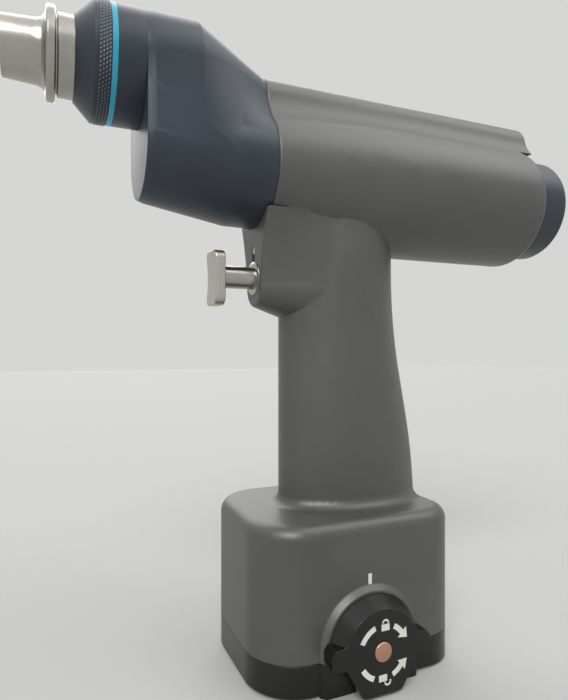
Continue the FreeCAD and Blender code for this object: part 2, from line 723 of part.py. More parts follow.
def box_outline(z, inset):
    """Rounded rectangle of the battery housing, larger corners in front."""
    x = box_half_x - inset
    y = box_half_y - inset
    rf = box_front_r - inset
    rr = box_rear_r - inset
    c = math.cos(math.pi / 4)
    edges = []
    for sx, sy, r in ((-1, -1, rf), (1, -1, rr), (1, 1, rr), (-1, 1, rf)):
        centre = V(sx * (x - r), sy * (y - r), z)
        along_x = V(centre.x, sy * y, z)
        along_y = V(sx * x, centre.y, z)
        mid = V(centre.x + sx * r * c, centre.y + sy * r * c, z)
        start, end = (along_y, along_x) if sx * sy > 0 else (along_x, along_y)
        edges.append((start, mid, end))
    shapes = []
    for i, (start, mid, end) in enumerate(edges):
        shapes.append(Part.Arc(start, mid, end).toShape())
        shapes.append(Part.makeLine(end, edges[(i + 1) % 4][0]))
    return Part.Wire(shapes)


def box_prism(z0, z1, inset):
    return Part.Face(box_outline(z0, inset)).extrude(V(0, 0, z1 - z0))


def arch_boss():
    """Raised arch behind the knob, with straight legs down to the underside."""
    top = across(boss_r, 0, knob_z, -box_half_y - boss_height, -box_half_y + 3)
    legs = block(-boss_r, boss_r, -box_half_y - boss_height, -box_half_y + 3, 0, knob_z)
    boss = top.fuse(legs).removeSplitter()
    slope = boss_r - boss_face_r
    face_y = -box_half_y - boss_height
    rims = [e for e in boss.Edges if abs(e.BoundBox.YMax - face_y) < 0.01 and e.BoundBox.ZMax > 1.0]
    return boss.makeChamfer(slope * 0.9, rims)


def make_body():
    """One casting: barrel, grip, neck and battery housing, with its bores and bays."""
    boss = arch_boss().cut(block(-50, 50, -50, 50, -10, seam_z + seam_gap))
    solid = main_barrel().fuse(grip_on_box()).fuse(neck()).fuse(boss)
    for x0 in (-hinge_length / 2, knuckle_half + 0.2):
        x1 = x0 + hinge_length / 2 - knuckle_half - 0.2
        solid = solid.fuse(hinge_knuckle(x0, x1, True))
    solid = solid.cut(rod(hinge_pin_r + fit_gap, -hinge_length, hinge_length, seam_z, hinge_y))

    solid = solid.cut(rod(motor_bore_r, seam_x - 1, cap_plug_x, motor_z))
    solid = solid.cut(rod(cap_plug_r, cap_plug_x, lobe_end_x + 1, cap_z))
    solid = solid.cut(box_prism(seam_z - 1, bay_top_z, bay_wall))
    solid = solid.cut(grip(handle_wall, bay_top_z - 1, cavity_top_z))
    solid = solid.cut(upright(wire_hole_r, wire_hole_x, 0, cavity_top_z - 1, motor_z))
    solid = solid.cut(rod(bushing_r, neck_face_x - 1, bushing_end_x + 5.0, trigger_z))
    solid = solid.cut(rod(bezel_r, neck_face_x - 1, neck_face_x + bezel_depth, trigger_z))
    slot_low = trigger_z + bezel_r - 1.0
    slot_mid = slot_top_z - pin_head_r
    slot = block(neck_face_x - 1, neck_face_x + 3.0, -slot_width / 2, slot_width / 2, slot_low, slot_mid)
    solid = solid.cut(slot).cut(rod(pin_head_r + fit_gap, neck_face_x - 1, neck_face_x + 3.0, slot_mid))
    solid = solid.cut(across(knob_shaft_r + run_gap, 0, knob_z, -40, -20))
    solid = solid.cut(cam_pocket())
    save("body_housing", solid)
    save("slot_pin", rod(pin_head_r, neck_face_x + 0.2, neck_face_x + 3.0, slot_mid))


def cam_pocket():
    """Shallow recess inside the near wall for the cam disc of the lock."""
    reach = knob_flange_r + free_gap
    inner_y = -box_half_y + bay_wall
    return block(-reach, reach, inner_y - cam_depth, inner_y + 1, knob_z - reach, knob_z + reach)


def hinge_knuckle(x0, x1, above):
    """Knuckle on the far side of the battery housing, with a web to the wall."""
    z0 = seam_z if above else seam_z - 5.0
    knuckle = rod(hinge_r, x0, x1, seam_z, hinge_y)
    web = block(x0, x1, box_half_y - 0.5, hinge_y + hinge_r * 0.6, z0, z0 + 5.0)
    return knuckle.fuse(web)


# Motor

def make_motor():
    """Brushless motor in its own can, held in the main bore."""
    front = motor_front_x
    back = motor_back_x
    inner_r = motor_can_r - can_wall
    seat_r = small_bearing_r + fit_gap
    profile = [(front, 5.2), (front, motor_can_r), (back, motor_can_r), (back, inner_r),
               (front + 2.0, inner_r), (front + 2.0, 8.5), (front + 6.0, 8.5), (front + 6.0, seat_r),
               (front + 1.5, seat_r), (front + 1.5, 5.2)]
    save("motor_can", turned(profile, motor_z))
    save("motor_front_bearing", bearing(journal_r + run_gap, small_bearing_r,
                                        front + 1.6, front + 5.6, motor_z))
    stator_x = front + 12.0
    stator_end = back - 12.0
    core = tube(inner_r - fit_gap, stator_r_in, stator_x, stator_end, motor_z)
    slot = block(stator_x - 1, stator_end + 1, -0.6, 0.6, motor_z + stator_r_in - 1, motor_z + 13.5)
    for k in range(stator_slots):
        turned_slot = slot.copy()
        turned_slot.rotate(V(0, 0, motor_z), V(1, 0, 0), 360.0 * k / stator_slots)
        core = core.cut(turned_slot)
    save("stator_core", core)
    ends = [tube(winding_r, winding_r_in, stator_x - winding_reach, stator_x, motor_z),
            tube(winding_r, winding_r_in, stator_end, stator_end + winding_reach, motor_z)]
    save("stator_windings", *ends)
    shaft_end = back - 1.2
    profile = [(planet_x - 0.2, 0), (planet_x - 0.2, 2.0), (front - 1.6, 2.0), (front - 1.6, 3.0),
               (front + 6.2, 3.0), (front + 6.2, 4.0), (back - 6.4, 4.0), (back - 6.4, 3.0),
               (shaft_end, 3.0), (shaft_end, 0)]
    save("rotor_shaft", turned(profile, motor_z))
    save("rotor_magnet", tube(rotor_r, 4.0 + fit_gap, stator_x + 2.0, stator_end - 2.0, motor_z))
    profile = [(back - 7.0, seat_r), (back - 7.0, 8.5), (back - 3.0, 8.5), (back - 3.0, inner_r - fit_gap),
               (back, inner_r - fit_gap), (back, 5.2), (back - 1.5, 5.2), (back - 1.5, seat_r)]
    save("motor_end_bell", turned(profile, motor_z))
    save("motor_rear_bearing", bearing(journal_r + run_gap, small_bearing_r,
                                       back - 5.8, back - 1.8, motor_z))
    save("motor_board", tube(15.4, 4.0, back, back + 1.6, motor_z))
    save("motor_clamp_ring", tube(motor_can_r, winding_r, back, cap_plug_x - 0.1, motor_z))


def make_rear_cap():
    """Screw-in cap behind the motor, with its seal."""
    flange_x0 = lobe_end_x + 0.1
    plug = cap_plug_r - fit_gap
    inner = plug - cap_wall
    groove_x = cap_plug_x + 2.4
    profile = [(cap_plug_x + 0.1, inner), (cap_plug_x + 0.1, plug), (groove_x, plug),
               (groove_x, plug - seal_depth), (groove_x + 1.6, plug - seal_depth), (groove_x + 1.6, plug),
               (flange_x0, plug), (flange_x0, cap_r - 0.4), (flange_x0 + 0.4, cap_r),
               (cap_end_x - cap_edge, cap_r), (cap_end_x - cap_edge * 0.3, cap_r - cap_edge * 0.3),
               (cap_end_x, cap_r - cap_edge), (cap_end_x, 0), (cap_end_x - cap_wall, 0),
               (cap_end_x - cap_wall, inner)]
    save("rear_cap", turned(profile, cap_z))
    save("cap_seal", tube(plug, plug - seal_depth + fit_gap, groove_x + 0.1, groove_x + 1.5, cap_z))


# Trigger

def make_trigger():
    """T-shaped finger pad on a sliding rod, its bush, return spring and sensor."""
    front_x = pad_back_x - pad_thickness
    dish = 0.7
    mid_z = (pad_low_z + pad_high_z) / 2.0
    low = V(front_x - dish, 0, pad_low_z)
    high = V(front_x - dish, 0, pad_high_z)
    back_low = V(pad_back_x, 0, pad_low_z)
    back_high = V(pad_back_x, 0, pad_high_z)
    edges = [Part.makeLine(back_low, low), Part.Arc(low, V(front_x, 0, mid_z), high).toShape(),
             Part.makeLine(high, back_high), Part.makeLine(back_high, back_low)]
    plate = Part.Face(Part.Wire(edges))
    plate.translate(V(0, -pad_half_width, 0))
    plate = plate.extrude(V(0, 2 * pad_half_width, 0))
    corner = 3.0
    blank = block(front_x - 5, pad_back_x + 1, -pad_half_width, pad_half_width, pad_low_z, pad_high_z)
    long_edges = [e for e in blank.Edges if e.BoundBox.XLength > 3]
    pad = plate.common(blank.makeFillet(corner, long_edges))
    save("trigger_pad", pad)

    rod_back = bushing_end_x + 2.0
    profile = [(pad_back_x, 0), (pad_back_x, rod_r), (bushing_end_x + 0.1, rod_r),
               (bushing_end_x + 0.1, rod_flange_r), (rod_back, rod_flange_r), (rod_back, magnet_r + fit_gap),
               (rod_back - 2.0, magnet_r + fit_gap), (rod_back - 2.0, 0)]
    save("trigger_rod", turned(profile, trigger_z))
    save("trigger_magnet", rod(magnet_r, rod_back - 1.9, rod_back, trigger_z))

    lip_x = neck_face_x - bezel_lip
    flange_end = neck_face_x + bezel_depth - fit_gap
    profile = [(lip_x, rod_r + run_gap), (lip_x, bezel_r - 0.9), (lip_x + 0.4, bezel_r - fit_gap),
               (flange_end, bezel_r - fit_gap), (flange_end, bushing_r - fit_gap),
               (bushing_end_x, bushing_r - fit_gap), (bushing_end_x, rod_r + run_gap)]
    save("trigger_bush", turned(profile, trigger_z))

    seat_x = sensor_x
    spring_r = 3.6
    wire_r = 0.4
    save("trigger_spring", coil(spring_r, wire_r, rod_back + wire_r + 0.05, seat_x - wire_r - 0.05,
                                trigger_z, 4))
    carrier = block(seat_x, seat_x + carrier_depth, -carrier_half_y, carrier_half_y,
                    trigger_z - carrier_half_z, trigger_z + carrier_half_z)
    room = sensor_half + 0.1
    pocket = block(seat_x - 1, seat_x + 1.0, -room, room, trigger_z - room, trigger_z + room)
    save("sensor_carrier", carrier.cut(pocket))
    save("hall_sensor", block(seat_x + 0.05, seat_x + 0.95, -sensor_half, sensor_half,
                              trigger_z - sensor_half, trigger_z + sensor_half))
    board_x = seat_x + carrier_depth
    board = block(board_x, board_x + 1.6, -board_half_y, board_half_y,
                  bay_top_z + 1.0, trigger_z + carrier_half_z)
    chips = [block(board_x + 1.6, board_x + 3.4, -4.0, 4.0, z, z + 8.0) for z in (70.0, 86.0, 102.0)]
    for chip in chips:
        board = board.fuse(chip)
    save("control_board", board.removeSplitter())


# Battery, lid and lock

def make_battery():
    """Removable pack of six round cells, with the contacts above it."""
    case_low = seam_z + 0.4
    outer = box_prism(case_low, case_top_z, bay_wall + free_gap)
    inside = box_prism(case_low + case_wall, case_top_z - case_wall, bay_wall + free_gap + case_wall)
    shell = outer.cut(inside)
    save("battery_case", shell)
    cells = []
    for row in range(2):
        z = case_low + case_wall + 0.3 + cell_r + row * (2 * cell_r + 0.2)
        for column in (-1, 0, 1):
            cells.append(rod(cell_r, -cell_length / 2, cell_length / 2, z, column * (2 * cell_r + 0.2)))
    save("battery_cells", *cells)
    board_z = case_low + case_wall + 0.3 + 4 * cell_r + 0.2 + 0.3
    save("battery_board", block(-cell_length / 2, cell_length / 2, -3 * cell_r, 3 * cell_r, board_z,
                                board_z + board_thickness))
    pads = [block(x - 2.4, x + 2.4, y - 2.0, y + 2.0, case_top_z, case_top_z + 0.4)
            for x, y in contact_places()]
    save("battery_terminals", *pads)
    plate = block(-contact_half_x, contact_half_x, -contact_half_y, contact_half_y,
                  bay_top_z - 1.8, bay_top_z)
    socket = block(-contact_half_x + 7, contact_half_x - 7, -9, 9, case_top_z + 0.9, bay_top_z - 1.8)
    plate = plate.fuse(socket).removeSplitter()
    pins = []
    for x, y in contact_places():
        plate = plate.cut(upright(1.2 + fit_gap, x, y, case_top_z, bay_top_z + 1))
        pins.append(upright(1.2, x, y, case_top_z + 0.5, bay_top_z + 0.6))
    save("contact_block", plate)
    save("contact_pins", *pins)


def contact_places():
    return [(x, y) for x in (-8.0, 0.0, 8.0) for y in (-5.0, 5.0)]


def make_lid():
    """Base lid hung on a pin on the far side, with seal and battery pad."""
    lid = box_prism(0.0, seam_z, 0.0)
    rims = [e for e in lid.Edges if e.BoundBox.ZMax < 0.01]
    lid = lid.makeChamfer(lid_edge, rims)
    legs = arch_boss().common(block(-50, 50, -50, 50, 0.0, seam_z))
    lid = lid.fuse(legs).removeSplitter()
    lid = lid.cut(box_prism(lid_floor, seam_z + 1, bay_wall))
    seal_out = 0.7
    seal_in = 1.6
    groove = box_prism(seam_z - seal_out, seam_z + 1, seal_out)
    groove = groove.cut(box_prism(seam_z - 1, seam_z + 2, seal_in))
    lid = lid.cut(groove)
    lid = lid.cut(cam_pocket())
    knuckle = hinge_knuckle(-knuckle_half + 0.1, knuckle_half - 0.1, False)
    lid = lid.fuse(knuckle)
    lid = lid.cut(rod(hinge_pin_r + run_gap, -knuckle_half - 1, knuckle_half + 1, seam_z, hinge_y))
    save("base_lid", lid)
    seal = box_prism(seam_z - seal_out, seam_z + seam_gap, seal_out + fit_gap)
    save("lid_seal", seal.cut(box_prism(seam_z - 1, seam_z + 2, seal_in - fit_gap)))
    pad = box_prism(lid_floor, seam_z - 0.3, bay_wall + 4.0)
    save("battery_pad", pad)
    save("hinge_pin", rod(hinge_pin_r, -hinge_length / 2 + 0.2, hinge_length / 2 - 0.2, seam_z, hinge_y))


def knob_outline(y):
    """Front view of the knob: round top, two wings and a tapered tail."""
    def at(x, z):
        return V(x, y, knob_z + z)

    join = math.radians(24.0)
    shoulder_x = knob_r * math.cos(join)
    shoulder_z = knob_r * math.sin(join)
    wing_z = knob_wing_high
    right = [at(knob_wing_r, 1.6), at(knob_wing_r, knob_wing_low + 1.4),
             at(knob_wing_r - 1.4, knob_wing_low), at(knob_r - 0.3, knob_wing_low),
             at(knob_tail_half + 1.2, 1.1 - knob_r), at(knob_tail_half, -knob_r)]
    left = [V(-p.x, p.y, p.z) for p in reversed(right)]
    edges = []
    run = right + left
    for a, b in zip(run[:-1], run[1:]):
        edges.append(Part.makeLine(a, b))
    left_wing = at(-knob_wing_r + 1.2, 3.4)
    edges.append(Part.makeLine(run[-1], left_wing))
    left_low = at(-shoulder_x - knob_web, wing_z - 0.37)
    edges.append(Part.makeLine(left_wing, left_low))
    left_high = at(-shoulder_x, shoulder_z)
    left_hollow = at(-shoulder_x - 0.41 * knob_web, wing_z + 0.14)
    edges.append(Part.Arc(left_low, left_hollow, left_high).toShape())
    right_high = at(shoulder_x, shoulder_z)
    edges.append(Part.Arc(left_high, at(0, knob_r), right_high).toShape())
    right_low = at(shoulder_x + knob_web, wing_z - 0.37)
    right_hollow = at(shoulder_x + 0.41 * knob_web, wing_z + 0.14)
    edges.append(Part.Arc(right_high, right_hollow, right_low).toShape())
    right_wing = at(knob_wing_r - 1.2, 3.4)
    edges.append(Part.makeLine(right_low, right_wing))
    edges.append(Part.makeLine(right_wing, run[0]))
    return Part.Wire(edges)


def make_knob():
    """Lock knob with its screw and shaft."""
    back_y = -box_half_y - boss_height - knob_clearance
    depth = back_y - knob_front_y
    knob = Part.Face(knob_outline(knob_front_y)).extrude(V(0, depth, 0))
    skirt = Part.makeCone(knob_r, knob_skirt_r, depth, V(0, knob_front_y, knob_z), V(0, 1, 0))
    skirt = skirt.cut(block(-30, 30, -50, 0, knob_z - 30, knob_z + 2.0))
    knob = knob.fuse(skirt).removeSplitter()
    screw_r = 3.1
    knob = knob.cut(across(screw_r + fit_gap, 0, knob_z, knob_front_y - 1, knob_front_y + 1.2))
    knob = knob.cut(across(knob_shaft_r + fit_gap, 0, knob_z, knob_front_y + 1.2, back_y + 1))
    save("lock_knob", knob)
    head = across(screw_r, 0, knob_z, knob_front_y - 0.3, knob_front_y + 1.2)
    thread = across(1.2, 0, knob_z, knob_front_y + 1.2, knob_front_y + 5.0)
    save("knob_screw", head.fuse(thread).removeSplitter())
    inner_y = -box_half_y + bay_wall
    cam_y = inner_y - cam_depth + 0.2
    shaft = across(knob_shaft_r, 0, knob_z, knob_front_y + 1.2, cam_y)
    cam = across(knob_flange_r, 0, knob_z, cam_y, inner_y)
    shaft = shaft.fuse(cam).removeSplitter()
    save("knob_shaft", shaft.cut(across(1.2 + fit_gap, 0, knob_z, knob_front_y, knob_front_y + 5.1)))


os.makedirs("parts", exist_ok=True)
make_nose()
make_barrel_front()
make_spindle()
make_gears()
make_carrier()
make_gear_housing()
make_body()
make_motor()
make_rear_cap()
make_trigger()
make_battery()
make_lid()
make_knob()
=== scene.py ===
# Surgical power drill: finishes, small trim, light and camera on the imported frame
import json
import math
import bmesh
import bpy
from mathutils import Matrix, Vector


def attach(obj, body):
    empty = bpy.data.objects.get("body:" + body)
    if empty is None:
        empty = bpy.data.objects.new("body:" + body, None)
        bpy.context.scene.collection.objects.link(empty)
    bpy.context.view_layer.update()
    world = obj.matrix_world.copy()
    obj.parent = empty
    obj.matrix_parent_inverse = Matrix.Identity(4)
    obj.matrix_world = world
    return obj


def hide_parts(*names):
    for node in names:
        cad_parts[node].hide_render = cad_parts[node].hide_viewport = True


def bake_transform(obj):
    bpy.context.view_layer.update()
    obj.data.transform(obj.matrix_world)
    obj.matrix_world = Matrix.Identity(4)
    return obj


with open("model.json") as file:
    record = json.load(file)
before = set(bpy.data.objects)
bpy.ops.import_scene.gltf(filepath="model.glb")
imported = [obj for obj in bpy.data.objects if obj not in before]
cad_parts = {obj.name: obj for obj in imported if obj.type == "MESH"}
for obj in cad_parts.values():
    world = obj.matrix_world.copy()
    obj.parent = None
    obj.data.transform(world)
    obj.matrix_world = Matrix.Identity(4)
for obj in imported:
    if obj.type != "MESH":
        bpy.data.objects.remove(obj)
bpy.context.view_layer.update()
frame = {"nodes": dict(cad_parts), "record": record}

nodes = frame["nodes"]
mm = 0.001


# selection and object helpers

def deselectAll():
    if bpy.context.mode != "OBJECT":
        bpy.ops.object.mode_set(mode="OBJECT")
    bpy.ops.object.select_all(action="DESELECT")


def makeActive(piece):
    deselectAll()
    piece.select_set(True)
    bpy.context.view_layer.objects.active = piece


def applyPlace(piece):
    makeActive(piece)
    bpy.ops.object.transform_apply(location=True, rotation=True, scale=True)


def applyModifiers(piece):
    makeActive(piece)
    for modifier in list(piece.modifiers):
        bpy.ops.object.modifier_apply(modifier=modifier.name)


def smoothShade(piece, angle):
    makeActive(piece)
    bpy.ops.object.shade_smooth_by_angle(angle=math.radians(angle))


def evenShade(piece):
    # large flat faces keep their own direction beside narrow curved ones
    weighted = piece.modifiers.new("shading", "WEIGHTED_NORMAL")
    weighted.mode = "FACE_AREA"
    weighted.keep_sharp = True
    applyModifiers(piece)


def addBevel(piece, width, segments, angle):
    bevel = piece.modifiers.new("edges", "BEVEL")
    bevel.width = width
    bevel.segments = segments
    bevel.limit_method = "ANGLE"
    bevel.angle_limit = math.radians(angle)


def selectFaces(piece, test):
    # picks faces by a test on their centre, in edit mode
    bpy.ops.mesh.select_all(action="DESELECT")
    mesh = bmesh.from_edit_mesh(piece.data)
    for face in mesh.faces:
        if test(face.calc_center_median()):
            face.select_set(True)
    mesh.select_flush_mode()
    bmesh.update_edit_mesh(piece.data)


def joinPieces(pieces, name):
    deselectAll()
    for piece in pieces:
        piece.select_set(True)
    bpy.context.view_layer.objects.active = pieces[0]
    bpy.ops.object.join()
    joined = bpy.context.view_layer.objects.active
    joined.name = name
    return joined


def dress(piece, material):
    piece.data.materials.clear()
    piece.data.materials.append(material)


def seat(piece, body, material):
    dress(piece, material)
    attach(piece, body)


# shader groups shared by several finishes

shading = {
    "fineDetail": 3.0, "fineRoughness": 0.6, "cloudDetail": 4.0, "cloudRoughness": 0.55,
    "ringDetail": 2.0, "toneSpan": (0.3, 0.72), "glossSpan": (0.3, 0.7), "ior": 1.5, "edgeSamples": 4,
}


def groupSocket(group, name, way, kind, value=None):
    socket = group.interface.new_socket(name=name, in_out=way, socket_type=kind)
    if value is not None:
        socket.default_value = value


def buildGrainGroup():
    # fine grain for bump and a slow cloud for tone and gloss
    group = bpy.data.node_groups.new("surfaceGrain", "ShaderNodeTree")
    groupSocket(group, "Vector", "INPUT", "NodeSocketVector")
    groupSocket(group, "Fine Scale", "INPUT", "NodeSocketFloat", 2500.0)
    groupSocket(group, "Cloud Scale", "INPUT", "NodeSocketFloat", 25.0)
    groupSocket(group, "Grain", "OUTPUT", "NodeSocketFloat")
    groupSocket(group, "Cloud", "OUTPUT", "NodeSocketFloat")
    enter = group.nodes.new("NodeGroupInput")
    leave = group.nodes.new("NodeGroupOutput")
    fine = group.nodes.new("ShaderNodeTexNoise")
    fine.inputs["Detail"].default_value = shading["fineDetail"]
    fine.inputs["Roughness"].default_value = shading["fineRoughness"]
    cloud = group.nodes.new("ShaderNodeTexNoise")
    cloud.inputs["Detail"].default_value = shading["cloudDetail"]
    cloud.inputs["Roughness"].default_value = shading["cloudRoughness"]
    link = group.links.new
    link(enter.outputs["Vector"], fine.inputs["Vector"])
    link(enter.outputs["Vector"], cloud.inputs["Vector"])
    link(enter.outputs["Fine Scale"], fine.inputs["Scale"])
    link(enter.outputs["Cloud Scale"], cloud.inputs["Scale"])
    link(fine.outputs["Fac"], leave.inputs["Grain"])
    link(cloud.outputs["Fac"], leave.inputs["Cloud"])
    return group


def buildTurnedGroup():
    # rings left by turning, along the piece's own axis
    group = bpy.data.node_groups.new("turnedRings", "ShaderNodeTree")
    groupSocket(group, "Vector", "INPUT", "NodeSocketVector")
    groupSocket(group, "Ring Scale", "INPUT", "NodeSocketFloat", 3000.0)
    groupSocket(group, "Rings", "OUTPUT", "NodeSocketFloat")
    enter = group.nodes.new("NodeGroupInput")
    leave = group.nodes.new("NodeGroupOutput")
    split = group.nodes.new("ShaderNodeSeparateXYZ")
    rings = group.nodes.new("ShaderNodeTexNoise")
    rings.noise_dimensions = "1D"
    rings.inputs["Detail"].default_value = shading["ringDetail"]
    link = group.links.new
    link(enter.outputs["Vector"], split.inputs[0])
    link(split.outputs["X"], rings.inputs["W"])
    link(enter.outputs["Ring Scale"], rings.inputs["Scale"])
    link(rings.outputs["Fac"], leave.inputs["Rings"])
    return group


grainGroup = buildGrainGroup()
turnedGroup = buildTurnedGroup()


def finishMaterial(name, look):
    # one material: tone cloud, gloss cloud, grain or turned rings, and softened edges
    material = bpy.data.materials.new(name)
    material.use_nodes = True
    tree = material.node_tree
    link = tree.links.new
    shader = tree.nodes["Principled BSDF"]
    shader.inputs["Metallic"].default_value = look.get("metal", 0.0)
    shader.inputs["IOR"].default_value = shading["ior"]
    place = tree.nodes.new("ShaderNodeTexCoord")
    grain = tree.nodes.new("ShaderNodeGroup")
    grain.node_tree = grainGroup
    grain.inputs["Fine Scale"].default_value = look["fineScale"]
    grain.inputs["Cloud Scale"].default_value = look["cloudScale"]
    link(place.outputs["Object"], grain.inputs["Vector"])
    tone = tree.nodes.new("ShaderNodeValToRGB")
    tone.color_ramp.elements[0].position = shading["toneSpan"][0]
    tone.color_ramp.elements[0].color = (*look["dark"], 1.0)
    tone.color_ramp.elements[1].position = shading["toneSpan"][1]
    tone.color_ramp.elements[1].color = (*look["light"], 1.0)
    link(grain.outputs["Cloud"], tone.inputs["Fac"])
    link(tone.outputs["Color"], shader.inputs["Base Color"])
    gloss = tree.nodes.new("ShaderNodeMapRange")
    gloss.inputs["From Min"].default_value = shading["glossSpan"][0]
    gloss.inputs["From Max"].default_value = shading["glossSpan"][1]
    gloss.inputs["To Min"].default_value = look["rough"][0]
    gloss.inputs["To Max"].default_value = look["rough"][1]
    link(grain.outputs["Cloud"], gloss.inputs["Value"])
    link(gloss.outputs["Result"], shader.inputs["Roughness"])
    bump = tree.nodes.new("ShaderNodeBump")
    bump.inputs["Strength"].default_value = look["bump"]
    bump.inputs["Distance"].default_value = look["depth"]
    height = grain.outputs["Grain"]
    if look.get("rings"):
        turned = tree.nodes.new("ShaderNodeGroup")
        turned.node_tree = turnedGroup
        turned.inputs["Ring Scale"].default_value = look["rings"]
        link(place.outputs["Object"], turned.inputs["Vector"])
        height = turned.outputs["Rings"]
    link(height, bump.inputs["Height"])
    if look.get("edge"):
        edge = tree.nodes.new("ShaderNodeBevel")
        edge.samples = shading["edgeSamples"]
        edge.inputs["Radius"].default_value = look["edge"]
        link(edge.outputs["Normal"], bump.inputs["Normal"])
    link(bump.outputs["Normal"], shader.inputs["Normal"])
    return material


def srgb(red, green, blue):
    # written as seen on screen, stored as light
    def light(value):
        share = value / 255.0
        return share / 12.92 if share <= 0.04045 else ((share + 0.055) / 1.055) ** 2.4
    return (light(red), light(green), light(blue))


finishes = {
    "castGrey": {
        "dark": srgb(84, 84, 82), "light": srgb(94, 94, 92), "rough": (0.36, 0.44), "metal": 0.25,
        "fineScale": 2600.0, "cloudScale": 22.0, "bump": 0.12, "depth": 0.0002, "edge": 0.0005,
    },
    "slate": {
        "dark": srgb(45, 52, 61), "light": srgb(53, 61, 71), "rough": (0.34, 0.42), "metal": 0.25,
        "fineScale": 3000.0, "cloudScale": 30.0, "bump": 0.1, "depth": 0.0002, "edge": 0.0004,
    },
    "tealPaint": {
        "dark": srgb(38, 160, 190), "light": srgb(52, 178, 208), "rough": (0.32, 0.4),
        "fineScale": 3000.0, "cloudScale": 60.0, "bump": 0.05, "depth": 0.0001,
    },
    "turnedSteel": {
        "dark": srgb(160, 158, 152), "light": srgb(176, 174, 167), "rough": (0.2, 0.28),
        "metal": 1.0, "rings": 2600.0, "fineScale": 3000.0, "cloudScale": 80.0, "bump": 0.05,
        "depth": 0.0001, "edge": 0.0003,
    },
    "blastedSteel": {
        "dark": srgb(176, 174, 167), "light": srgb(190, 188, 181), "rough": (0.3, 0.4),
        "metal": 1.0, "fineScale": 4200.0, "cloudScale": 90.0, "bump": 0.15, "depth": 0.0001,
        "edge": 0.0004,
    },
    "blackNylon": {
        "dark": srgb(14, 14, 14), "light": srgb(20, 20, 19), "rough": (0.2, 0.27),
        "fineScale": 3400.0, "cloudScale": 45.0, "bump": 0.2, "depth": 0.0002, "edge": 0.0005,
    },
    "copperScrew": {
        "dark": srgb(196, 150, 124), "light": srgb(214, 168, 142), "rough": (0.3, 0.4),
        "metal": 1.0, "fineScale": 5000.0, "cloudScale": 200.0, "bump": 0.1, "depth": 0.0001,
        "edge": 0.0003,
    },
    "whiteMark": {
        "dark": srgb(222, 222, 216), "light": srgb(232, 232, 228), "rough": (0.5, 0.6),
        "fineScale": 4000.0, "cloudScale": 120.0, "bump": 0.08, "depth": 0.0001,
    },
    "sealRubber": {
        "dark": srgb(26, 26, 27), "light": srgb(34, 34, 35), "rough": (0.6, 0.75),
        "fineScale": 3000.0, "cloudScale": 60.0, "bump": 0.2, "depth": 0.0002,
    },
    "copperWire": {
        "dark": srgb(170, 96, 52), "light": srgb(196, 118, 66), "rough": (0.3, 0.42), "metal": 1.0,
        "rings": 900.0, "fineScale": 2000.0, "cloudScale": 60.0, "bump": 0.5, "depth": 0.0004,
    },
    "greenLaminate": {
        "dark": srgb(22, 84, 52), "light": srgb(30, 98, 60), "rough": (0.35, 0.45),
        "fineScale": 1800.0, "cloudScale": 70.0, "bump": 0.08, "depth": 0.0001,
    },
    "sinteredGrey": {
        "dark": srgb(108, 108, 112), "light": srgb(124, 124, 128), "rough": (0.45, 0.55),
        "metal": 0.8, "fineScale": 2600.0, "cloudScale": 70.0, "bump": 0.2, "depth": 0.0002,
    },
    "blueWrap": {
        "dark": srgb(42, 92, 156), "light": srgb(52, 104, 170), "rough": (0.3, 0.36),
        "fineScale": 1200.0, "cloudScale": 40.0, "bump": 0.06, "depth": 0.0002,
    },
    "goldContact": {
        "dark": srgb(206, 168, 92), "light": srgb(222, 184, 108), "rough": (0.22, 0.3),
        "metal": 1.0, "fineScale": 4000.0, "cloudScale": 150.0, "bump": 0.06, "depth": 0.0001,
    },
    "closedFoam": {
        "dark": srgb(46, 46, 49), "light": srgb(58, 58, 61), "rough": (0.8, 0.9),
        "fineScale": 1100.0, "cloudScale": 80.0, "bump": 0.5, "depth": 0.0004,
    },
}
materials = {name: finishMaterial(name, look) for name, look in finishes.items()}
print("finishes made")


# finish of each material slot, and the nodes that differ from their slot

slotFinish = {
    "housing_grey": "castGrey", "slate": "slate", "teal": "tealPaint", "steel": "turnedSteel",
    "black_plastic": "blackNylon", "copper": "copperScrew", "seal_rubber": "sealRubber",
    "winding": "copperWire", "laminate": "greenLaminate", "magnet": "sinteredGrey",
    "cell_wrap": "blueWrap", "contact_brass": "goldContact", "foam": "closedFoam",
}
ownFinish = {"trigger_pad": "blastedSteel", "slot_pin": "blastedSteel", "hinge_pin": "blastedSteel"}
nodeSlot = {entry["node"]: entry["material_slot"] for entry in frame["record"]["subparts"]}
bodyNodes = frame["record"]["behaviour"]["bodies"]
nodeBody = {name: body for body, names in bodyNodes.items() for name in names}


def finishOf(name):
    return materials[ownFinish.get(name, slotFinish[nodeSlot[name]])]


for name, node in nodes.items():
    node.data.materials.clear()
    node.data.materials.append(finishOf(name))
print("finishes on", len(nodes), "nodes")


# outer pieces: joined faces for even shading, some with rounded edges

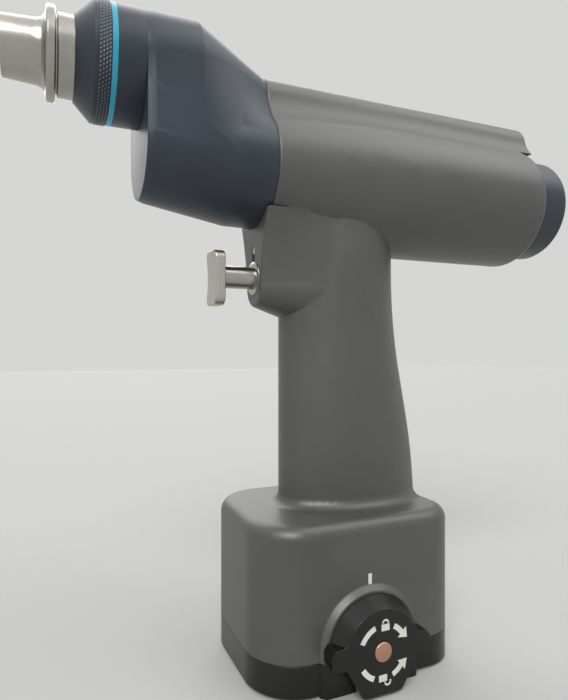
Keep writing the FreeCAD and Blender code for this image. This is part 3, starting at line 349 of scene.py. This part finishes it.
skins = {
    "body_housing": {"angle": 30, "bevel": 0.0},
    "gear_housing": {"angle": 30, "bevel": 0.0},
    "lock_collar": {"angle": 24, "bevel": 0.0},
    "drive_barrel": {"angle": 30, "bevel": 0.0},
    "colour_ring": {"angle": 30, "bevel": 0.0},
    "sleeve_collar": {"angle": 30, "bevel": 0.0},
    "coupling_sleeve": {"angle": 30, "bevel": 0.0},
    "nose_tube": {"angle": 30, "bevel": 0.0},
    "rear_cap": {"angle": 30, "bevel": 0.0},
    "trigger_rod": {"angle": 30, "bevel": 0.0},
    "trigger_bush": {"angle": 30, "bevel": 0.0},
    "trigger_pad": {"angle": 40, "bevel": 0.5},
    "base_lid": {"angle": 30, "bevel": 0.0},
    "lock_knob": {"angle": 40, "bevel": 0.9},
    "knob_screw": {"angle": 40, "bevel": 0.3},
    "trigger_spring": {"angle": 50, "bevel": 0.0, "follows": "trigger"},
    "sleeve_spring": {"angle": 50, "bevel": 0.0, "follows": "release_sleeve"},
}
skinEdges = {"merge": 0.002, "flat": 1.0, "segments": 3, "angle": 35}


def joinedSkin(name, settings):
    source = nodes[name]
    skin = bpy.data.objects.new(name.replace("_", "-") + "-skin", source.data.copy())
    bpy.context.scene.collection.objects.link(skin)
    makeActive(skin)
    bpy.ops.object.mode_set(mode="EDIT")
    bpy.ops.mesh.select_all(action="SELECT")
    bpy.ops.mesh.customdata_custom_splitnormals_clear()
    bpy.ops.mesh.remove_doubles(threshold=skinEdges["merge"] * mm)
    if settings["bevel"]:
        bpy.ops.mesh.dissolve_limited(angle_limit=math.radians(skinEdges["flat"]))
    bpy.ops.object.mode_set(mode="OBJECT")
    if settings["bevel"]:
        addBevel(skin, settings["bevel"] * mm, skinEdges["segments"], skinEdges["angle"])
        applyModifiers(skin)
    smoothShade(skin, settings["angle"])
    evenShade(skin)
    if "follows" in settings:
        # a coil spring closes up in use; here it only takes its finish and is not attached to a body
        dress(skin, finishOf(name))
        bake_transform(skin)
    else:
        seat(skin, nodeBody[name], finishOf(name))
    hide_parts(name)


for name, settings in skins.items():
    joinedSkin(name, settings)
print("outer skins made")


# diamond knurl round the back of the lock collar

# valley colour is painted shade; tip colour is partly wear and partly painted highlight
knurl = {"teeth": 96, "rows": 4, "front": -83.6, "back": -80.05, "radius": 18.0, "height": 0.3,
         "root": 17.9, "margin": 0.03, "axisHeight": 200.4,
         "valleyShade": srgb(18, 21, 26), "tip": srgb(112, 122, 134)}


def knurlShadeFinish():
    # the slate finish with painted shade darkening the valleys, and tips lighter, partly worn bright
    # by fingers and partly a painted highlight
    material = finishMaterial("knurledSlatePaintedShade", finishes["slate"])
    tree = material.node_tree
    link = tree.links.new
    place = tree.nodes.new("ShaderNodeTexCoord")
    centred = tree.nodes.new("ShaderNodeVectorMath")
    centred.operation = "SUBTRACT"
    centred.inputs[1].default_value = (0, 0, knurl["axisHeight"] * mm)
    across = tree.nodes.new("ShaderNodeVectorMath")
    across.operation = "MULTIPLY"
    across.inputs[1].default_value = (0, 1, 1)
    reach = tree.nodes.new("ShaderNodeVectorMath")
    reach.operation = "LENGTH"
    rise = tree.nodes.new("ShaderNodeMapRange")
    rise.inputs["From Min"].default_value = knurl["radius"] * mm
    rise.inputs["From Max"].default_value = (knurl["radius"] + knurl["height"]) * mm
    # colour by height above the root: painted shade low in the valleys, wear and painted highlight on
    # the tips
    shadeAndWearRamp = tree.nodes["Principled BSDF"].inputs["Base Color"].links[0].from_node
    shadeAndWearRamp.color_ramp.elements[0].position = 0.0
    shadeAndWearRamp.color_ramp.elements[0].color = (*knurl["valleyShade"], 1.0)
    shadeAndWearRamp.color_ramp.elements[1].position = 1.0
    shadeAndWearRamp.color_ramp.elements[1].color = (*knurl["tip"], 1.0)
    link(place.outputs["Object"], centred.inputs[0])
    link(centred.outputs[0], across.inputs[0])
    link(across.outputs[0], reach.inputs[0])
    link(reach.outputs["Value"], rise.inputs["Value"])
    link(rise.outputs["Result"], shadeAndWearRamp.inputs["Fac"])
    return material


def buildKnurl():
    step = (knurl["back"] - knurl["front"]) / knurl["rows"] * mm
    axis = Vector((0, 0, knurl["axisHeight"] * mm))
    first = Vector((knurl["front"] * mm, 0, 0)) + axis
    deselectAll()
    bpy.ops.mesh.primitive_circle_add(vertices=knurl["teeth"], radius=knurl["root"] * mm,
                                      location=first, rotation=(0, math.pi / 2, 0))
    band = bpy.context.object
    band.name = "collar-knurl"
    applyPlace(band)
    bpy.ops.object.mode_set(mode="EDIT")
    bpy.ops.mesh.select_all(action="SELECT")
    grow = knurl["radius"] / knurl["root"]
    bpy.ops.mesh.extrude_region_move()
    bpy.ops.transform.resize(value=(1, grow, grow), center_override=first)
    for row in range(knurl["rows"]):
        bpy.ops.mesh.extrude_region_move(TRANSFORM_OT_translate={"value": (step, 0, 0)})
        bpy.ops.transform.rotate(value=math.pi / knurl["teeth"], orient_axis="X",
                                 center_override=axis)
    bpy.ops.mesh.extrude_region_move()
    bpy.ops.transform.resize(value=(1, 1 / grow, 1 / grow), center_override=axis)
    bpy.ops.mesh.select_all(action="SELECT")
    bpy.ops.mesh.normals_make_consistent(inside=False)
    outer = (knurl["radius"] - knurl["margin"]) * mm
    selectFaces(band, lambda centre: (centre - axis).yz.length > outer)
    bpy.ops.mesh.poke(offset=knurl["height"] * mm)
    bpy.ops.object.mode_set(mode="OBJECT")
    seat(band, "setting_collar", knurlShadeFinish())


buildKnurl()
print("knurl made")


# white pictograms round the knob's screw: two padlocks, two arrows, two plain arcs

marks = {
    "face": -37.0, "proud": 0.05, "centreHeight": 14.4, "ring": 8.5, "stroke": 1.7,
    "arcs": ((109, 152), (208, 247), (36, 62), (293, 323)),
    "heads": ((8.8, 30, -46), (8.8, 327, 40)),
    "headSize": 2.45, "headLength": 0.75, "headLift": 0.02, "ringSteps": 90,
    "locks": ((7.7, 84, 1, 0.0), (8.2, 269, -1, 1.75)), "lockBody": (3.0, 2.1),
    "shackle": 1.0, "shackleStroke": 0.55, "leg": 0.6,
}


def flatRing(centre, inner, outer, start, end):
    # part of a flat ring seen from the near side, angles counted from +X towards +Z
    deselectAll()
    bpy.ops.mesh.primitive_circle_add(vertices=marks["ringSteps"], radius=inner,
                                      location=centre, rotation=(math.pi / 2, 0, 0))
    ring = bpy.context.object
    applyPlace(ring)
    bpy.ops.object.mode_set(mode="EDIT")
    bpy.ops.mesh.select_all(action="SELECT")
    bpy.ops.mesh.extrude_region_move()
    bpy.ops.transform.resize(value=(outer / inner, 1, outer / inner), center_override=centre)

    def outside(place):
        angle = math.degrees(math.atan2(place.z - centre[2], place.x - centre[0])) % 360
        return not min(start, end) <= angle <= max(start, end)

    selectFaces(ring, outside)
    bpy.ops.mesh.delete(type="FACE")
    bpy.ops.object.mode_set(mode="OBJECT")
    return ring


def flatShape(centre, corners, size, turn):
    # filled triangle or rectangle on the knob's face, turned in degrees
    deselectAll()
    if corners == 4:
        bpy.ops.mesh.primitive_plane_add(size=1.0)
    else:
        bpy.ops.mesh.primitive_circle_add(vertices=corners, radius=1.0, fill_type="NGON")
    shape = bpy.context.object
    shape.scale = (size[0], size[1], 1)
    applyPlace(shape)
    shape.rotation_euler = (math.pi / 2, -math.radians(turn), 0)
    shape.location = centre
    applyPlace(shape)
    return shape


def onKnob(radius, angle):
    side = radius * math.cos(math.radians(angle))
    rise = radius * math.sin(math.radians(angle))
    return Vector((side * mm, (marks["face"] - marks["proud"]) * mm,
                   (marks["centreHeight"] + rise) * mm))


def padlock(radius, angle, way, shift):
    # way is 1 upright or -1 upside down, shift moves the bow sideways for the open lock
    width, height = marks["lockBody"]
    body = onKnob(radius, angle)
    bow = body + Vector((shift * mm, 0, way * (height / 2 + marks["leg"] / 2) * mm))
    inner = (marks["shackle"] - marks["shackleStroke"] / 2) * mm
    outer = (marks["shackle"] + marks["shackleStroke"] / 2) * mm
    start, end = (0, 180) if way > 0 else (180, 360)
    parts = [flatShape(body, 4, (width * mm, height * mm), 0),
             flatRing(bow, inner, outer, start, end)]
    for side in (-1, 1):
        foot = bow + Vector((side * marks["shackle"] * mm, 0, -way * marks["leg"] / 4 * mm))
        parts.append(flatShape(foot, 4, (marks["shackleStroke"] * mm, marks["leg"] * mm), 0))
    return parts


def buildMarks():
    low = (marks["ring"] - marks["stroke"] / 2) * mm
    high = (marks["ring"] + marks["stroke"] / 2) * mm
    parts = [flatRing(onKnob(0, 0), low, high, start, end) for start, end in marks["arcs"]]
    size = marks["headSize"] * mm
    for radius, angle, heading in marks["heads"]:
        tip = onKnob(radius, angle) - Vector((0, marks["headLift"] * mm, 0))
        parts.append(flatShape(tip, 3, (size, size * marks["headLength"]), heading - 90))
    for radius, angle, way, shift in marks["locks"]:
        parts += padlock(radius, angle, way, shift)
    sheet = joinPieces(parts, "knob-marks")
    makeActive(sheet)
    bpy.ops.object.mode_set(mode="EDIT")
    bpy.ops.mesh.select_all(action="SELECT")
    bpy.ops.mesh.normals_make_consistent(inside=False)
    thickness = 2 * marks["proud"] * mm
    bpy.ops.mesh.extrude_region_move(TRANSFORM_OT_translate={"value": (0, thickness, 0)})
    bpy.ops.mesh.select_all(action="SELECT")
    bpy.ops.mesh.normals_make_consistent(inside=False)
    bpy.ops.object.mode_set(mode="OBJECT")
    seat(sheet, "lock", materials["whiteMark"])


buildMarks()
print("knob marks made")


# white index line above the lock

indexLine = {"width": 1.3, "low": 32.7, "high": 36.4, "face": -29.2, "proud": 0.06,
             "edge": 0.02, "edgeSegments": 2, "edgeAngle": 30}


def buildIndexLine():
    height = indexLine["high"] - indexLine["low"]
    middle = (indexLine["high"] + indexLine["low"]) / 2
    deselectAll()
    bpy.ops.mesh.primitive_cube_add(size=1.0, location=(0, indexLine["face"] * mm, middle * mm))
    line = bpy.context.object
    line.name = "index-line"
    line.scale = (indexLine["width"] * mm, 2 * indexLine["proud"] * mm, height * mm)
    applyPlace(line)
    addBevel(line, indexLine["edge"] * mm, indexLine["edgeSegments"], indexLine["edgeAngle"])
    applyModifiers(line)
    seat(line, "housing", materials["whiteMark"])


buildIndexLine()
print("index line made")


# studio: floor, lamps, world and camera

studio = {
    "floorTone": srgb(188, 188, 186), "floorSize": 6.0, "floorDrop": 0.2, "floorRough": 0.85,
    "backTone": srgb(214, 214, 212),
    "fillTone": (0.01, 0.01, 0.01),
    "lamps": {
        "topLamp": {"from": (0.0, 0.0, 1.0), "spread": 100, "power": 0.9},
        "barrelLamp": {"from": (0.5, -0.28, 0.82), "spread": 44, "power": 0.75},
        "nearLamp": {"from": (-0.4, -0.62, 0.65), "spread": 34, "power": 2.1},
        "rearLamp": {"from": (0.1, 0.75, 0.65), "spread": 60, "power": 1.35},
    },
}


def buildStudio():
    deselectAll()
    bpy.ops.mesh.primitive_plane_add(size=studio["floorSize"],
                                     location=(0, 0, -studio["floorDrop"] * mm))
    floor = bpy.context.object
    floor.name = "floor"
    paper = bpy.data.materials.new("paperFloor")
    paper.use_nodes = True
    shader = paper.node_tree.nodes["Principled BSDF"]
    shader.inputs["Base Color"].default_value = (*studio["floorTone"], 1.0)
    shader.inputs["Roughness"].default_value = studio["floorRough"]
    floor.data.materials.append(paper)
    for name, lamp in studio["lamps"].items():
        data = bpy.data.lights.new(name, "SUN")
        data.angle = math.radians(lamp["spread"])
        data.energy = lamp["power"]
        light = bpy.data.objects.new(name, data)
        light.rotation_euler = Vector(lamp["from"]).to_track_quat("Z", "Y").to_euler()
        bpy.context.scene.collection.objects.link(light)
    world = bpy.data.worlds.new("studioWorld")
    bpy.context.scene.world = world
    world.use_nodes = True
    tree = world.node_tree
    link = tree.links.new
    soft = tree.nodes["Background"]
    soft.inputs["Color"].default_value = (*studio["fillTone"], 1.0)
    plain = tree.nodes.new("ShaderNodeBackground")
    plain.inputs["Color"].default_value = (*studio["backTone"], 1.0)
    path = tree.nodes.new("ShaderNodeLightPath")
    mix = tree.nodes.new("ShaderNodeMixShader")
    seen = path.outputs["Is Camera Ray"]
    for ray in ("Is Glossy Ray", "Is Transmission Ray"):
        either = tree.nodes.new("ShaderNodeMath")
        either.operation = "MAXIMUM"
        link(seen, either.inputs[0])
        link(path.outputs[ray], either.inputs[1])
        seen = either.outputs[0]
    link(seen, mix.inputs["Fac"])
    link(soft.outputs[0], mix.inputs[1])
    link(plain.outputs[0], mix.inputs[2])
    link(mix.outputs[0], tree.nodes["World Output"].inputs["Surface"])


viewpoint = {"at": (-0.09915, -0.1868, 0.10966), "heading": 23.45, "lens": 28.85,
             "sensor": 36.0, "clipStart": 0.01}


def buildCamera():
    data = bpy.data.cameras.new("photoCamera")
    data.lens = viewpoint["lens"]
    data.sensor_width = viewpoint["sensor"]
    data.clip_start = viewpoint["clipStart"]
    camera = bpy.data.objects.new("photoCamera", data)
    camera.location = viewpoint["at"]
    camera.rotation_euler = (math.pi / 2, 0, -math.radians(viewpoint["heading"]))
    bpy.context.scene.collection.objects.link(camera)
    bpy.context.scene.camera = camera


buildStudio()
buildCamera()
bpy.context.scene.view_settings.view_transform = "Standard"
print("studio made")
